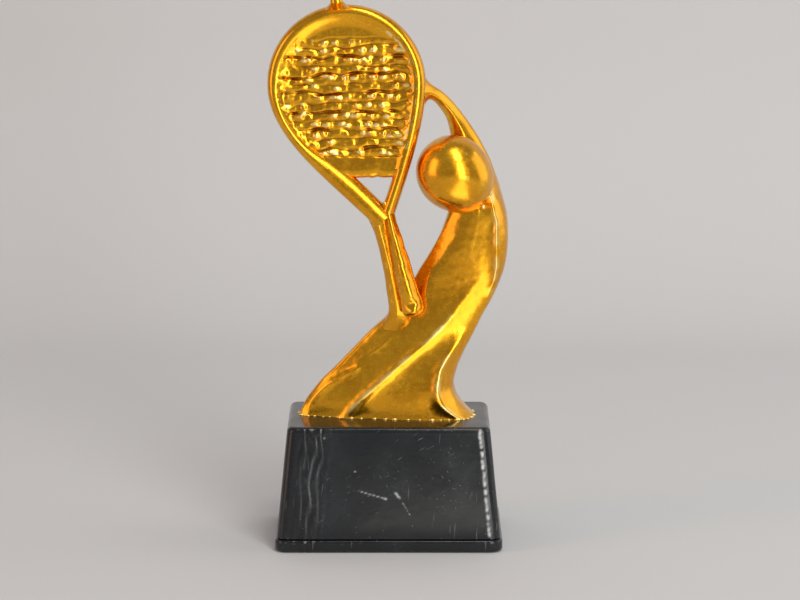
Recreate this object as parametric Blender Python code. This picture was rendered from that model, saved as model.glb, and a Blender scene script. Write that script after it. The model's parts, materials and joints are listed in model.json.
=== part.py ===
"""Figure trophy: an abstract racket player in gold on a weighted black base.

The figure is a set of castings pinned together: body, head, two arms, a racket with its string bed
and handle, and a ball on a stem. A stud runs from the figure's foot down through the hollow base and
its ballast to a nut in the foot plate. All sizes below are in millimetres. The origin is the centre
of the face that the trophy stands on, +X is to the right, +Y away from the viewer and +Z up.
"""

import math

import bmesh
import bpy
from mathutils import Matrix, Vector

MM = 0.001
GAP = 0.3  # left between two pieces that touch or are glued

# Base
BASE_WIDTH, BASE_DEPTH, BASE_HEIGHT = 60.0, 40.0, 33.0
PLINTH_TOP = 3.4
PLINTH_CORNER = 3.4
SHELL_FOOT = (59.0, 39.0)
SHELL_TOP = (53.5, 33.5)
SHELL_CORNER = 3.0
SHELL_EDGE = 1.5
SHELL_WALL, SHELL_INSIDE_CORNER = 2.4, 1.2
ROOF_CUT_FOOT, ROOF_CUT_TOP = 25.0, 36.0  # the span that holes through the roof are cut over
FELT_THICKNESS = 0.9
FELT_INSET = 2.0
PLATE_UNDERSIDE = 0.3  # the felt stands this much proud of the foot plate's rim
PLATE_LIP_HEIGHT, PLATE_LIP_WALL = 2.0, 1.6
CUP_RADIUS, CUP_BORE, CUP_TOP, CUP_ROOF = 8.5, 6.5, 11.0, 2.0

# Fixings
STUD_RADIUS = 2.5
STUD_FOOT, STUD_HEAD = 1.6, 40.5
NUT_FLATS, NUT_HEIGHT = 8.0, 3.9
WASHER_RADIUS, WASHER_THICKNESS = 5.0, 1.0
SPRING_WASHER_RADIUS, SPRING_WASHER_THICKNESS, SPRING_WASHER_SPLIT = 4.4, 1.2, 1.0
INSERT_RADIUS, INSERT_LENGTH = 4.0, 8.0
LOCATING_PIN_RADIUS, LOCATING_PIN_X, LOCATING_PIN_Y = 1.0, 13.0, 1.5
LOCATING_PIN_FOOT, LOCATING_PIN_TOP = 30.9, 36.6
NECK_PIN = ((19.2, -1.6, 93.5), (22.6, 0.6, 82.5), 1.25)  # start, end, radius
SHOULDER_PIN = ((25.8, 6.4, 95.5), (20.9, 6.2, 106.0), 1.0)
HAND_PIN = ((13.8, 2.3, 117.4), (7.6, 1.6, 120.0), 0.7)
WRIST_PIN_IN_ARM, WRIST_PIN_IN_RACKET, WRIST_PIN_RADIUS = (-3.0, -3.6, 83.2), (6.6, -33.2), 0.6
HANDLE_PIN_FOOT, HANDLE_PIN_TOP, HANDLE_PIN_RADIUS = (11.6, -38.5), (10.3, -33.2), 0.75  # u, v

# Body: its left and right edges by height, then how deep it is and where its edges stand in Y
FOOT_Z = BASE_HEIGHT + GAP
SHOULDER_Z = 101.0
BODY_EDGES = [  # z, left x, right x
    (33.0, -23.7, 22.7),
    (35.0, -23.0, 20.7),
    (38.0, -21.5, 18.4),
    (41.5, -19.0, 17.4),
    (46.0, -14.4, 18.2),
    (51.0, -9.6, 20.3),
    (56.0, -4.7, 22.9),
    (59.5, -0.8, 24.6),
    (62.0, 2.2, 26.0),
    (65.0, 4.6, 27.6),
    (70.0, 6.9, 29.8),
    (75.0, 9.3, 31.1),
    (81.0, 13.2, 31.7),
    (88.0, 15.9, 31.1),
    (94.0, 17.0, 29.4),
    (101.0, 17.0, 26.6),
]
BODY_DEPTHS = [  # z, left edge y, right edge y, bulge in front, bulge behind
    (33.0, 0.0, 2.5, 8.6, 7.2),
    (50.0, 0.0, 2.3, 7.6, 6.8),
    (65.0, 0.4, 2.6, 6.4, 6.2),
    (81.0, 1.0, 4.0, 5.6, 5.2),
    (92.0, 2.6, 5.2, 4.8, 4.6),
    (101.0, 4.4, 5.2, 3.4, 3.6),
]
BODY_HEIGHTS = [34.5, 36.0, 38.0, 41.0, 44.0, 47.0, 50.0, 53.0, 56.0, 58.5, 60.3, 61.8]
BODY_HEIGHTS += [63.4, 65.5, 68.5, 72.0, 76.0, 80.0, 84.0, 88.0, 92.0, 96.0]
FOLD_ROUNDING = 0.5
MAIN_FOLD_FOOT = (-11.6, 33.5)  # x, z where the long fold leaves the hem
MAIN_FOLD_SLOPE = 0.98  # x gained for each unit of z
MAIN_FOLD_HEIGHT, MAIN_FOLD_WIDTH = 1.7, 3.2
MAIN_FOLD_TOP, MAIN_FOLD_FADE = 72.0, 18.0
RIGHT_RIB_INSET, RIGHT_RIB_HEIGHT, RIGHT_RIB_WIDTH = 3.8, 1.1, 1.6
LEFT_RIB_INSET, LEFT_RIB_HEIGHT, LEFT_RIB_WIDTH = 5.0, 0.8, 2.4
LEFT_RIB_FOOT, LEFT_RIB_FADE = 52.0, 8.0

# Head: an egg, its long axis tipped back
HEAD_CENTRE = Vector((17.6, -2.5, 97.9))
HEAD_HALF_SIZES = Vector((9.3, 9.4, 10.5))
HEAD_TILT = math.radians(-42.0)
HEAD_TAPER = 0.06  # how much narrower the chin is than the crown

# Racket, in its own frame: u to the right, w away from the viewer, v up. Its two sides run down to the
# throat at different slopes, because the racket is held at a tilt, while its strings stay level.
RACKET_CENTRE = Vector((-11.0, -1.0, 121.7))
RACKET_LEAN, RACKET_YAW = math.radians(-4.5), math.radians(8.0)
RACKET_RADIUS = 20.8
RIGHT_SIDE = [(20.8, 0.0), (20.8, -9.0), (17.4, -20.0), (12.7, -34.0)]  # Bezier points
LEFT_SIDE = [(-20.8, 0.0), (-20.8, -13.0), (-7.6, -22.8), (5.5, -35.2)]
RACKET_THICKNESS = 5.6
RIM_WIDTH = 4.2
STRING_BED_FOOT = -20.6
STRING_BED_FRONT, LEDGE_W = -1.5, 1.6
LEDGE_WIDTH = 1.2
STRING_ROWS, STRING_HEIGHT = 10, 0.6
THROAT_HOLE = [(1.9, -24.7), (11.1, -24.0), (7.6, -31.2)]

# Handle, arms, ball
HANDLE_BUTT = Vector((7.0, -6.8, 60.7))
HANDLE_TOP = (10.8, -35.1)  # u, v
RAISED_ARM = [  # inner edge x, z; outer edge x, z; edge y; half thickness
    ((17.0, 101.3), (26.8, 101.3), 4.8, 3.4),
    ((16.7, 105.3), (24.5, 105.7), 4.6, 3.0),
    ((16.0, 109.3), (21.9, 110.0), 4.2, 2.6),
    ((15.2, 112.2), (19.4, 113.5), 3.6, 2.2),
    ((13.7, 114.7), (17.0, 116.5), 2.9, 2.0),
    ((12.1, 116.7), (14.2, 119.4), 2.2, 1.8),
    ((10.2, 117.6), (10.3, 121.9), 1.8, 1.9),
]
LOWER_ARM = [
    ((-0.6, 59.0), (4.4, 58.6), 0.2, 2.4),
    ((-0.2, 62.0), (3.5, 61.6), -0.8, 2.3),
    ((-0.6, 66.8), (2.4, 66.2), -2.0, 2.1),
    ((-1.7, 74.0), (0.7, 73.4), -2.9, 1.9),
    ((-3.7, 81.9), (-1.3, 81.2), -3.4, 2.0),
    ((-5.2, 85.6), (-2.2, 86.2), -3.7, 2.1),
]
BALL_RADIUS = 6.5
STEM_ANGLE = math.radians(6.8)  # from vertical, towards the racket's side of the axis
STEM_LENGTH, STEM_RADIUS, STEM_FLARE, STEM_SPIGOT = 3.0, 1.5, 2.7, 1.1

# name: base colour, metallic, roughness
FINISHES = {
    "gold_lacquer": ((0.83, 0.52, 0.07), 1.0, 0.22),
    "black_gloss": ((0.012, 0.013, 0.015), 0.0, 0.16),
    "steel": ((0.55, 0.56, 0.58), 1.0, 0.35),
    "brass": ((0.72, 0.53, 0.22), 1.0, 0.32),
    "black_felt": ((0.02, 0.02, 0.022), 0.0, 0.95),
    "cement": ((0.42, 0.41, 0.39), 0.0, 0.9),
}


# ---------------------------------------------------------------- shared tools


def clear_scene():
    for obj in list(bpy.data.objects):
        bpy.data.objects.remove(obj, do_unlink=True)


def finish(name):
    """The material of that name, made the first time it is asked for."""
    material = bpy.data.materials.get(name)
    if material is None:
        colour, metallic, roughness = FINISHES[name]
        material = bpy.data.materials.new(name)
        material.use_nodes = True
        shader = material.node_tree.nodes["Principled BSDF"]
        shader.inputs["Base Color"].default_value = (*colour, 1.0)
        shader.inputs["Metallic"].default_value = metallic
        shader.inputs["Roughness"].default_value = roughness
        material.diffuse_color = (*colour, 1.0)
    return material


def add_object(name, bm, finish_name):
    """Links bm, which is in millimetres, as an object, with its faces pointing out."""
    bmesh.ops.recalc_face_normals(bm, faces=bm.faces)
    bmesh.ops.scale(bm, vec=(MM, MM, MM), verts=bm.verts)
    mesh = bpy.data.meshes.new(name)
    bm.to_mesh(mesh)
    bm.free()
    mesh.shade_smooth()
    mesh.set_sharp_from_angle(angle=math.radians(35))
    obj = bpy.data.objects.new(name, mesh)
    bpy.context.scene.collection.objects.link(obj)
    if finish_name:
        mesh.materials.append(finish(finish_name))
    return obj


def loft(rings):
    """A closed skin through rings of equal length, with a flat cap at each end."""
    bm = bmesh.new()
    loops = [[bm.verts.new(point) for point in ring] for ring in rings]
    for lower, upper in zip(loops, loops[1:]):
        for i in range(len(lower)):
            j = (i + 1) % len(lower)
            bm.faces.new((lower[i], lower[j], upper[j], upper[i]))
    bm.faces.new(loops[0])
    bm.faces.new(loops[-1])
    return bm


def along(axis):
    """The rotation that turns +Z to the axis."""
    return Vector((0, 0, 1)).rotation_difference(Vector(axis)).to_matrix()


def turned(start, end, profile, segments=24):
    """A turned solid on the line from start to end: profile gives (share of the length, radius)."""
    start, end = Vector(start), Vector(end)
    turn = along(end - start)
    rings = []
    for share, radius in profile:
        centre = start.lerp(end, share)
        rings.append(
            [
                centre + turn @ (radius * Vector((math.cos(a), math.sin(a), 0)))
                for a in (2 * math.pi * i / segments for i in range(segments))
            ]
        )
    return loft(rings)


def rod(start, end, radius, segments=24):
    return turned(start, end, [(0, radius), (1, radius)], segments)


def rounded_rectangle(width, depth, corner, z, steps=5):
    """A level ring: a rectangle centred on the Z axis with round corners."""
    ring = []
    for quarter, (sx, sy) in enumerate(((1, 1), (-1, 1), (-1, -1), (1, -1))):
        centre = Vector((sx * (width / 2 - corner), sy * (depth / 2 - corner), z))
        for step in range(steps + 1):
            angle = math.pi / 2 * (quarter + step / steps)
            ring.append(centre + corner * Vector((math.cos(angle), math.sin(angle), 0)))
    return ring


def boolean(obj, bm, operation="DIFFERENCE"):
    """Cuts bm from obj, or joins it on, with a Boolean modifier that stays live."""
    helper = add_object(f"{obj.name}_helper_{len(obj.modifiers)}", bm, None)
    helper.hide_render = True
    helper.display_type = "WIRE"
    modifier = obj.modifiers.new(helper.name, "BOOLEAN")
    modifier.operation = operation
    modifier.solver = "EXACT"
    modifier.object = helper


def smooth_value(rows, at):
    """Reads a table of (position, value, ...) rows at a position, on a curve through every row."""
    at = min(max(at, rows[0][0]), rows[-1][0])
    i = next(k for k in range(1, len(rows)) if at <= rows[k][0])
    near = [rows[max(i - 2, 0)], rows[i - 1], rows[i], rows[min(i + 1, len(rows) - 1)]]
    span = near[2][0] - near[1][0]
    t = (at - near[1][0]) / span
    found = []
    for column in range(1, len(rows[0])):
        slopes = [
            (after[column] - before[column]) / (after[0] - before[0]) * span
            for before, after in ((near[0], near[2]), (near[1], near[3]))
        ]
        a, b = near[1][column], near[2][column]
        found.append(
            a * (2 * t**3 - 3 * t**2 + 1)
            + slopes[0] * (t**3 - 2 * t**2 + t)
            + b * (3 * t**2 - 2 * t**3)
            + slopes[1] * (t**3 - t**2)
        )
    return found


# ---------------------------------------------------------------- base


def build_base_shell():
    """The hollow black moulding, open below."""
    foot_z = PLINTH_TOP + GAP
    wide, deep = SHELL_TOP
    rings = [rounded_rectangle(*SHELL_FOOT, SHELL_CORNER, foot_z)]
    for step in range(4):
        angle = math.pi / 2 * step / 3
        inset = SHELL_EDGE * (1 - math.cos(angle))
        z = BASE_HEIGHT - SHELL_EDGE * (1 - math.sin(angle))
        corner = SHELL_CORNER - inset
        rings.append(rounded_rectangle(wide - 2 * inset, deep - 2 * inset, corner, z))
    shell = add_object("base_shell", loft(rings), "black_gloss")
    boolean(shell, loft(shell_inside(0.0, foot_z - 1.0, BASE_HEIGHT - SHELL_WALL)))
    boolean(shell, rod((0, 0, ROOF_CUT_FOOT), (0, 0, ROOF_CUT_TOP), STUD_RADIUS + GAP))
    for x in (-LOCATING_PIN_X, LOCATING_PIN_X):
        low, high = (x, LOCATING_PIN_Y, ROOF_CUT_FOOT), (x, LOCATING_PIN_Y, ROOF_CUT_TOP)
        boolean(shell, rod(low, high, LOCATING_PIN_RADIUS + GAP, 16))


def shell_inside(clearance, low_z, high_z):
    """Two rings of the shell's hollow, drawn in by a clearance."""
    rings = []
    for z in (low_z, high_z):
        share = (z - PLINTH_TOP) / (BASE_HEIGHT - PLINTH_TOP)
        shrink = 2 * (SHELL_WALL + clearance)
        size = [a + (b - a) * share - shrink for a, b in zip(SHELL_FOOT, SHELL_TOP)]
        rings.append(rounded_rectangle(*size, SHELL_INSIDE_CORNER, z, steps=2))
    return rings


def build_foot_plate():
    """The plinth: a plate with a lip inside the shell and a cup that holds the nut."""
    rings = [
        rounded_rectangle(BASE_WIDTH - 2 * inset, BASE_DEPTH - 2 * inset, PLINTH_CORNER - inset, z)
        for inset, z in (
            (0.3, PLATE_UNDERSIDE),
            (0.0, PLATE_UNDERSIDE + 0.3),
            (0.0, PLINTH_TOP - 0.4),
            (0.4, PLINTH_TOP),
        )
    ]
    plate = add_object("foot_plate", loft(rings), "black_gloss")
    lip_top = PLINTH_TOP + PLATE_LIP_HEIGHT
    boolean(plate, loft(shell_inside(GAP, PLINTH_TOP - 1, lip_top)), "UNION")
    boolean(plate, loft(shell_inside(GAP + PLATE_LIP_WALL, PLINTH_TOP, lip_top + 1)))
    boolean(plate, rod((0, 0, PLINTH_TOP - 1), (0, 0, CUP_TOP), CUP_RADIUS, 32), "UNION")
    felt_top = FELT_THICKNESS + GAP
    inset = 2 * (FELT_INSET - GAP)
    pocket = [
        rounded_rectangle(BASE_WIDTH - inset, BASE_DEPTH - inset, 2.3, z, steps=3)
        for z in (-1.0, felt_top)
    ]
    boolean(plate, loft(pocket))
    boolean(plate, rod((0, 0, 0), (0, 0, CUP_TOP - CUP_ROOF), CUP_BORE, 32))
    boolean(plate, rod((0, 0, 0), (0, 0, CUP_TOP + 1), STUD_RADIUS + GAP))


def build_felt_pad():
    rings = [
        rounded_rectangle(
            BASE_WIDTH - 2 * FELT_INSET, BASE_DEPTH - 2 * FELT_INSET, 2.0, z, steps=3
        )
        for z in (0.0, FELT_THICKNESS)
    ]
    add_object("felt_pad", loft(rings), "black_felt")


def build_ballast():
    """The cement block that weights the base, with room for the cup and the stud."""
    foot_z = PLINTH_TOP + PLATE_LIP_HEIGHT + GAP
    top_z = BASE_HEIGHT - SHELL_WALL - GAP
    block = add_object("ballast_block", loft(shell_inside(GAP, foot_z, top_z)), "cement")
    boolean(block, rod((0, 0, 0), (0, 0, CUP_TOP + GAP), CUP_RADIUS + GAP, 32))
    boolean(block, rod((0, 0, 0), (0, 0, top_z + 1), STUD_RADIUS + GAP))
    for x in (-LOCATING_PIN_X, LOCATING_PIN_X):
        low, high = (x, LOCATING_PIN_Y, ROOF_CUT_FOOT), (x, LOCATING_PIN_Y, ROOF_CUT_TOP)
        boolean(block, rod(low, high, LOCATING_PIN_RADIUS + 1, 16))


# ---------------------------------------------------------------- fixings


def build_stud_and_nut():
    stud = rod((0, 0, STUD_FOOT), (0, 0, STUD_HEAD), STUD_RADIUS)
    add_object("centre_stud", stud, "steel")

    def ring(name, low, thickness, radius, finish_name, segments=24):
        body = rod((0, 0, low), (0, 0, low + thickness), radius, segments)
        obj = add_object(name, body, finish_name)
        bore = rod((0, 0, low - 1), (0, 0, low + thickness + 1), STUD_RADIUS + GAP)
        boolean(obj, bore)
        return obj

    washer_z = CUP_TOP - CUP_ROOF - GAP - WASHER_THICKNESS
    spring_z = washer_z - GAP - SPRING_WASHER_THICKNESS
    nut_z = spring_z - GAP - NUT_HEIGHT
    ring("flat_washer", washer_z, WASHER_THICKNESS, WASHER_RADIUS, "steel")
    spring = ring(
        "spring_washer", spring_z, SPRING_WASHER_THICKNESS, SPRING_WASHER_RADIUS, "steel"
    )
    split = bmesh.new()
    bmesh.ops.create_cube(split, size=1.0)
    bmesh.ops.scale(split, vec=(6.0, SPRING_WASHER_SPLIT, 3.0), verts=split.verts)
    bmesh.ops.translate(split, vec=(5.0, 0.0, spring_z), verts=split.verts)
    boolean(spring, split)
    ring("hex_nut", nut_z, NUT_HEIGHT, NUT_FLATS / math.sqrt(3), "steel", 6)
    ring("threaded_insert", FOOT_Z + GAP, INSERT_LENGTH, INSERT_RADIUS, "brass")


def build_locating_pins():
    for side, x in (("left", -LOCATING_PIN_X), ("right", LOCATING_PIN_X)):
        low, high = (x, LOCATING_PIN_Y, LOCATING_PIN_FOOT), (x, LOCATING_PIN_Y, LOCATING_PIN_TOP)
        add_object(f"locating_pin_{side}", rod(low, high, LOCATING_PIN_RADIUS, 16), "steel")


def build_pin(name, start, end, radius, *hosts):
    """A dowel, and its glue hole in each piece that it joins."""
    add_object(name, rod(start, end, radius, 12), "steel")
    start, end = Vector(start), Vector(end)
    reach = (end - start).normalized() * GAP
    for host in hosts:
        boolean(host, rod(start - reach, end + reach, radius + GAP, 12))


# ---------------------------------------------------------------- body, head and arms


def crest(distance, width):
    """1 on a fold's line, falling away on both sides, with a rounded top."""
    return math.exp(-(math.hypot(distance, FOLD_ROUNDING) - FOLD_ROUNDING) / width)


def front_relief(x, z, left, right):
    """How far the folds stand out of the body's front."""
    main = MAIN_FOLD_FOOT[0] + MAIN_FOLD_SLOPE * (z - MAIN_FOLD_FOOT[1])
    fade = min(max((MAIN_FOLD_TOP - z) / MAIN_FOLD_FADE, 0.0), 1.0)
    relief = MAIN_FOLD_HEIGHT * fade * crest(x - main, MAIN_FOLD_WIDTH)
    relief += RIGHT_RIB_HEIGHT * crest(x - (right - RIGHT_RIB_INSET), RIGHT_RIB_WIDTH)
    fade = min(max((z - LEFT_RIB_FOOT) / LEFT_RIB_FADE, 0.0), 1.0)
    relief += LEFT_RIB_HEIGHT * fade * crest(x - (left + LEFT_RIB_INSET), LEFT_RIB_WIDTH)
    return relief


def body_ring(z, points=36, grow=0.0):
    """The body's outline at a height, as a level ring."""
    left, right = smooth_value(BODY_EDGES, z)
    y_left, y_right, front, back = smooth_value(BODY_DEPTHS, z)
    ring = []
    for i in range(points):
        angle = 2 * math.pi * i / points
        share = (1 - math.cos(angle)) / 2
        x = left - grow + (right - left + 2 * grow) * share
        bulge = abs(math.sin(angle)) ** 0.7
        y = y_left + (y_right - y_left) * share
        if angle < math.pi:
            y -= bulge * (front + grow + front_relief(x, z, left, right))
        else:
            y += bulge * (back + grow)
        ring.append(Vector((x, y, z)))
    return ring


def build_body():
    heights = [FOOT_Z] + BODY_HEIGHTS + [SHOULDER_Z - GAP / 2]
    body = add_object("figure_body", loft([body_ring(z) for z in heights]), "gold_lacquer")
    boolean(body, egg(GAP))
    insert_top = FOOT_Z + INSERT_LENGTH + 2 * GAP
    boolean(body, rod((0, 0, ROOF_CUT_FOOT), (0, 0, insert_top), INSERT_RADIUS + GAP))
    for x in (-LOCATING_PIN_X, LOCATING_PIN_X):
        low, high = (x, LOCATING_PIN_Y, ROOF_CUT_FOOT), (x, LOCATING_PIN_Y, LOCATING_PIN_TOP + GAP)
        boolean(body, rod(low, high, LOCATING_PIN_RADIUS + GAP, 16))
    boolean(body, loft(arm_rings(LOWER_ARM, grow=GAP, overrun=GAP)))
    boolean(body, loft(handle_rings(grow=GAP)))
    return body


def egg(grow=0.0):
    """The head's form: an ellipsoid, narrower at the chin."""
    bm = bmesh.new()
    bmesh.ops.create_uvsphere(bm, u_segments=28, v_segments=18, radius=1.0)
    turn = Matrix.Rotation(HEAD_TILT, 3, "Y")
    for vert in bm.verts:
        narrow = 1 + HEAD_TAPER * vert.co.z
        sizes = HEAD_HALF_SIZES + Vector((grow, grow, grow))
        local = Vector((vert.co.x * narrow, vert.co.y * narrow, vert.co.z)) * sizes
        vert.co = HEAD_CENTRE + turn @ local
    return bm


def arm_rings(stations, points=16, grow=0.0, overrun=0.0):
    """Rings of an arm, each spanning from its inner to its outer edge. overrun lengthens the root."""
    rings = []
    for index, (inner, outer, y, half) in enumerate(stations):
        inner, outer = Vector((inner[0], y, inner[1])), Vector((outer[0], y, outer[1]))
        centre, reach = (inner + outer) / 2, (outer - inner) / 2
        reach += reach.normalized() * grow
        if index == 0:
            centre.z -= overrun
        rings.append(
            [
                centre + reach * -math.cos(a) + Vector((0, -(half + grow) * math.sin(a), 0))
                for a in (2 * math.pi * i / points for i in range(points))
            ]
        )
    return rings


def build_head():
    return add_object("head", egg(), "gold_lacquer")


def build_raised_arm():
    arm = add_object("raised_arm", loft(arm_rings(RAISED_ARM)), "gold_lacquer")
    boolean(arm, egg(GAP))
    return arm


def build_lower_arm():
    return add_object("lower_arm", loft(arm_rings(LOWER_ARM)), "gold_lacquer")


# ---------------------------------------------------------------- racket and ball


def from_racket(u, w, v):
    turn = Matrix.Rotation(RACKET_LEAN, 3, "X") @ Matrix.Rotation(RACKET_YAW, 3, "Z")
    return RACKET_CENTRE + turn @ Vector((u, w, v))


def in_racket(place):
    """A place given as u, v in the racket's middle plane."""
    return from_racket(place[0], 0, place[1])


def bezier(points, t):
    a, b, c, d = (Vector(p) for p in points)
    return a * (1 - t) ** 3 + b * 3 * t * (1 - t) ** 2 + c * 3 * t * t * (1 - t) + d * t**3


def racket_outline(inset=0.0, arc_steps=28, throat_steps=9):
    """The racket head's outline as (u, v) points: a half circle above, drawn in to the throat."""
    right = [bezier(RIGHT_SIDE, t / throat_steps) for t in range(throat_steps, 0, -1)]
    top = [
        RACKET_RADIUS * Vector((math.cos(a), math.sin(a)))
        for a in (math.pi * i / arc_steps for i in range(arc_steps + 1))
    ]
    left = [bezier(LEFT_SIDE, t / throat_steps) for t in range(1, throat_steps + 1)]
    outline = right + top + left
    if not inset:
        return outline
    drawn = []
    for i, point in enumerate(outline):
        before, after = outline[max(i - 1, 0)], outline[min(i + 1, len(outline) - 1)]
        run = (after - before).normalized()
        drawn.append(point + Vector((-run.y, run.x)) * inset)
    return drawn


def string_bed_outline(inset):
    """The hollow inside the rim: the racket's outline drawn in and closed by a level foot."""
    foot = STRING_BED_FOOT + inset
    inside = racket_outline(RIM_WIDTH + inset)
    kept = []
    for a, b in zip(inside, inside[1:]):
        if a.y >= foot:
            kept.append(a)
        if (a.y - foot) * (b.y - foot) < 0:
            kept.append(a.lerp(b, (foot - a.y) / (b.y - a.y)))
    return kept


def plate(outline, levels):
    """A plate with an outline in the racket's frame: levels gives w and the outline at that w."""
    return loft([[from_racket(p.x, w, p.y) for p in outline(inset)] for w, inset in levels])


def build_racket_frame():
    half = RACKET_THICKNESS / 2
    rounding = [(-half, 1.5), (-half + 0.6, 0.5), (-half + 1.6, 0.0)]
    levels = rounding + [(-w, inset) for w, inset in reversed(rounding)]
    frame = add_object("racket_frame", plate(racket_outline, levels), "gold_lacquer")
    boolean(frame, plate(string_bed_outline, [(-half - 1, -1.0), (-half + 1.3, 0), (LEDGE_W, 0)]))
    boolean(frame, plate(string_bed_outline, [(0, LEDGE_WIDTH), (half + 1, LEDGE_WIDTH - 1.0)]))
    hole = [
        [from_racket(u, w, v) for u, v in THROAT_HOLE] for w in (-half - 1, half + 1)
    ]
    boolean(frame, loft(hole))
    return frame


def build_string_bed():
    """A plate seated on the rim's ledge, with a rib for each row of strings in front."""
    outline = string_bed_outline(GAP)
    foot = STRING_BED_FOOT + GAP
    top = max(p.y for p in outline)
    pitch = (top - foot) / STRING_ROWS
    rings = []
    for step in range(STRING_ROWS * 4 + 1):
        v = foot + 0.05 + (top - foot - 0.5) * step / (STRING_ROWS * 4)
        left, right = span_at(outline, v)
        rib = STRING_HEIGHT * math.sin(math.pi * (v - foot) / pitch) ** 2
        front, back = STRING_BED_FRONT + 0.3 - rib, LEDGE_W - GAP
        corners = ((left, front), (right, front), (right, back), (left, back))
        rings.append([from_racket(u, w, v) for u, w in corners])
    return add_object("string_bed", loft(rings), "gold_lacquer")


def span_at(outline, v):
    """The left and right ends of the level line at v inside a closed outline of (u, v) points."""
    crossings = []
    for a, b in zip(outline, outline[1:] + outline[:1]):
        low, high = min(a.y, b.y), max(a.y, b.y)
        if low <= v <= high and high > low:
            crossings.append(a.x + (b.x - a.x) * (v - a.y) / (b.y - a.y))
    return min(crossings), max(crossings)


def handle_rings(grow=0.0):
    """Eight-sided rings down the handle to its flared butt."""
    top = in_racket(HANDLE_TOP)
    turn = along(HANDLE_BUTT - top)
    profile = [(0.0, 1.8), (0.25, 2.0), (0.5, 2.3), (0.85, 2.6), (0.96, 2.5), (1.0, 1.6)]
    rings = []
    for share, radius in profile:
        centre = top.lerp(HANDLE_BUTT, share)
        if share == 1.0:
            centre += turn @ Vector((0, 0, grow))
        rings.append(
            [
                centre + turn @ ((radius + grow) * Vector((math.cos(a), math.sin(a), 0)))
                for a in (math.pi / 4 * i + math.pi / 8 for i in range(8))
            ]
        )
    return rings


def build_handle():
    return add_object("racket_handle", loft(handle_rings()), "gold_lacquer")


def build_ball(frame):
    """The ball, and the turned stem that joins it to the top of the racket."""
    up = Vector((-math.sin(STEM_ANGLE), 0, math.cos(STEM_ANGLE)))
    rim = from_racket(0, 0, 0) + up * (RACKET_RADIUS - 0.1)
    centre = rim + up * (GAP + STEM_LENGTH + BALL_RADIUS)
    bm = bmesh.new()
    bmesh.ops.create_uvsphere(bm, u_segments=28, v_segments=16, radius=BALL_RADIUS)
    bmesh.ops.translate(bm, vec=centre, verts=bm.verts)
    ball = add_object("ball", bm, "gold_lacquer")
    low, high = rim - up * 2.6, centre - up * 1.5
    length = (high - low).length
    collar, ball_foot = 2.6 + 2 * GAP, 2.6 + STEM_LENGTH - 0.2
    heights_and_radii = [
        (0.0, STEM_SPIGOT),
        (collar - 0.01, STEM_SPIGOT),
        (collar, STEM_FLARE),
        (collar + 0.5, 1.9),
        (collar + 1.2, STEM_RADIUS),
        (ball_foot - 0.01, STEM_RADIUS),
        (ball_foot, STEM_SPIGOT),
        (length, STEM_SPIGOT),
    ]
    profile = [(height / length, radius) for height, radius in heights_and_radii]
    add_object("ball_stem", turned(low, high, profile, 20), "gold_lacquer")
    for host in (frame, ball):
        boolean(host, rod(low - up * GAP, high + up * GAP, STEM_SPIGOT + GAP, 20))


# ---------------------------------------------------------------- assembly


def build_trophy():
    build_base_shell()
    build_foot_plate()
    build_felt_pad()
    build_ballast()
    build_stud_and_nut()
    build_locating_pins()
    body, head = build_body(), build_head()
    raised, lower = build_raised_arm(), build_lower_arm()
    frame, handle = build_racket_frame(), build_handle()
    build_string_bed()
    build_ball(frame)
    build_pin("neck_pin", *NECK_PIN, head, body)
    build_pin("shoulder_pin", *SHOULDER_PIN, body, raised)
    build_pin("hand_pin", *HAND_PIN, raised, frame)
    build_pin("wrist_pin", WRIST_PIN_IN_ARM, in_racket(WRIST_PIN_IN_RACKET), WRIST_PIN_RADIUS, lower, frame)
    foot, top = in_racket(HANDLE_PIN_FOOT), in_racket(HANDLE_PIN_TOP)
    build_pin("handle_pin", foot, top, HANDLE_PIN_RADIUS, handle, frame)


clear_scene()
build_trophy()
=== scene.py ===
"""Looks for the figure trophy: a gold racket player, cast and lacquered, on a scratched black base.

The pieces are built here from smooth curves in millimetres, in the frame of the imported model. The
castings run into each other without gaps, as the lacquer covers the joints. What is hidden in the base
and at the neck and shoulder keeps its CAD shape.
"""

import json
import math

import bmesh
import bpy
import numpy as np
from mathutils import Matrix, Vector, noise


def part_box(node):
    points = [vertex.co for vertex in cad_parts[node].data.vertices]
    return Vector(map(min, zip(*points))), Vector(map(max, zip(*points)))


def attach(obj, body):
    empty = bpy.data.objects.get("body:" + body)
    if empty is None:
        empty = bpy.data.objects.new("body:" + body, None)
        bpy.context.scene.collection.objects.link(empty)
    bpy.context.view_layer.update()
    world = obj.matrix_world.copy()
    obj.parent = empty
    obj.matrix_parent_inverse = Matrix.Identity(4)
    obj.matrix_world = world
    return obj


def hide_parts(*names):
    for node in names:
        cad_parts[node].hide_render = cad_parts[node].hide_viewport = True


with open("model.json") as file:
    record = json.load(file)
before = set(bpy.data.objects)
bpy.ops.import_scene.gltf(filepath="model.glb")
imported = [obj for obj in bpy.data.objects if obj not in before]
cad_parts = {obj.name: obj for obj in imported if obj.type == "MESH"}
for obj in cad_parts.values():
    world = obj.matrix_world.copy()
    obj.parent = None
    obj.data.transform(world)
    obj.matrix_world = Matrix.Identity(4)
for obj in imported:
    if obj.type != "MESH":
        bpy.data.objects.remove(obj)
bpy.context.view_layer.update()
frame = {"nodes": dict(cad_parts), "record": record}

noise.seed_set(1)  # without a seed, noise_vector gives other values in each run

MM = 0.001

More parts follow.
